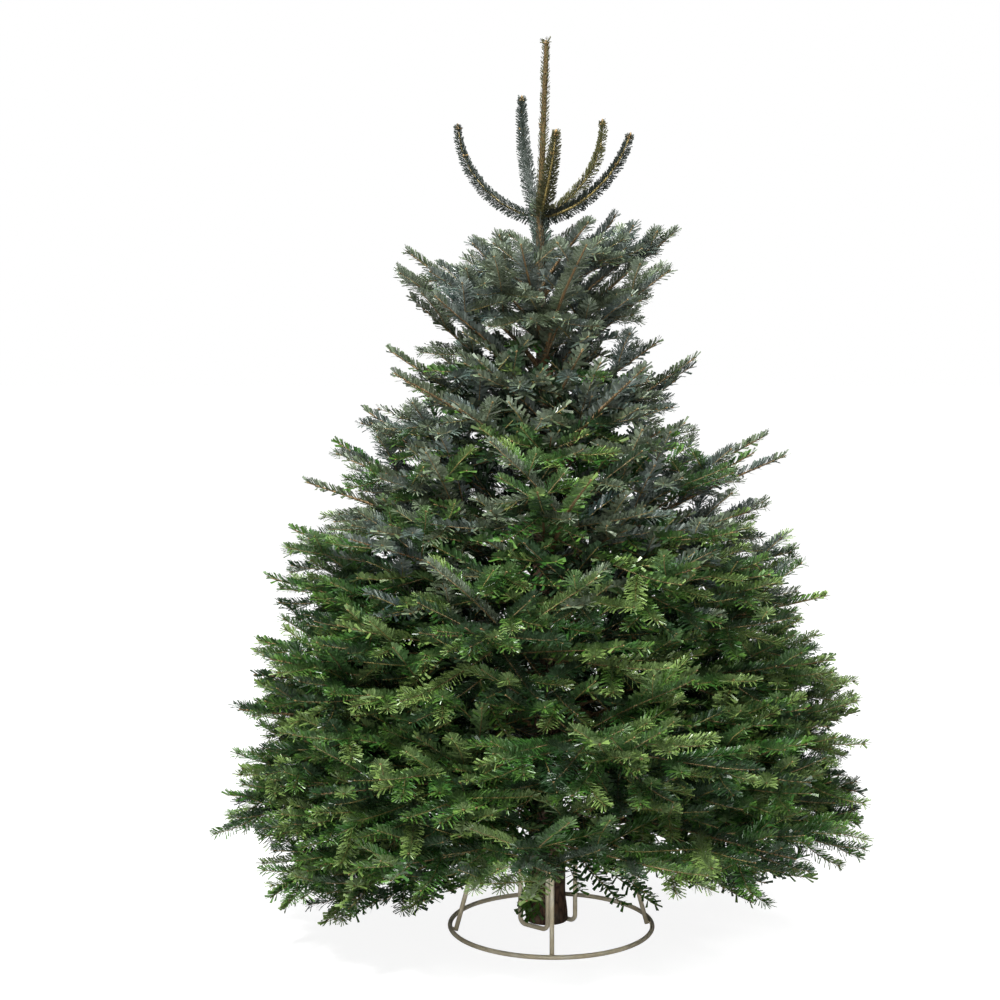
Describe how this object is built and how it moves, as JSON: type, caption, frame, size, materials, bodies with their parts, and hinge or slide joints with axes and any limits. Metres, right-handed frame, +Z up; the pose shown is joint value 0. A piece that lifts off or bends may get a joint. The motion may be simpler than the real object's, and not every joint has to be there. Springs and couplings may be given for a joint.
{
  "type": "christmas tree",
  "caption": "Cut fir used as a christmas tree: straight trunk with a bare leader, tiers of boughs with dense needle sprays, standing in a bent-wire ring stand.",
  "frame": {"origin": "centre of the stand's base ring, at floor level", "axes": "+Z up along the trunk; +X to the right seen from the tree's front; the front faces -Y"},
  "size_m": [1.4601, 1.4528, 1.94],
  "materials": {
    "stand_paint": "satin",
    "bark": "matte",
    "bough_bark": "matte",
    "needles": "satin"
  },
  "bodies": {
    "root": {"bough_tier2_1": "bough_bark", "bough_tier2_2": "bough_bark", "bough_tier2_3": "bough_bark", "bough_tier2_4": "bough_bark", "bough_tier3_1": "bough_bark", "bough_tier3_2": "bough_bark", "bough_tier3_3": "bough_bark", "bough_tier3_4": "bough_bark", "bough_tier4_1": "bough_bark", "bough_tier4_2": "bough_bark", "bough_tier4_3": "bough_bark", "bough_tier4_4": "bough_bark", "bough_tier5_1": "bough_bark", "bough_tier5_2": "bough_bark", "bough_tier5_3": "bough_bark", "bough_tier5_4": "bough_bark", "bough_tier6_1": "bough_bark", "bough_tier6_2": "bough_bark", "bough_tier6_3": "bough_bark", "bough_tier6_4": "bough_bark", "bough_tier7_1": "bough_bark", "bough_tier7_2": "bough_bark", "bough_tier7_3": "bough_bark", "bough_tier7_4": "bough_bark", "foliage_lone_1": "needles", "foliage_lone_2": "needles", "foliage_lone_3": "needles", "foliage_tier2_1": "needles", "foliage_tier2_2": "needles", "foliage_tier2_3": "needles", "foliage_tier2_4": "needles", "foliage_tier3_1": "needles", "foliage_tier3_2": "needles", "foliage_tier3_3": "needles", "foliage_tier3_4": "needles", "foliage_tier4_1": "needles", "foliage_tier4_2": "needles", "foliage_tier4_3": "needles", "foliage_tier4_4": "needles", "foliage_tier5_1": "needles", "foliage_tier5_2": "needles", "foliage_tier5_3": "needles", "foliage_tier5_4": "needles", "foliage_tier6_1": "needles", "foliage_tier6_2": "needles", "foliage_tier6_3": "needles", "foliage_tier6_4": "needles", "foliage_tier7_1": "needles", "foliage_tier7_2": "needles", "foliage_tier7_3": "needles", "foliage_tier7_4": "needles", "foliage_top_1": "needles", "foliage_top_2": "needles", "foliage_top_3": "needles", "foliage_top_4": "needles", "foliage_top_5": "needles", "stand_ring": "stand_paint", "stand_rod_left_front": "stand_paint", "stand_rod_right_back": "stand_paint", "trunk": "bark"}
  },
  "joints": []
}
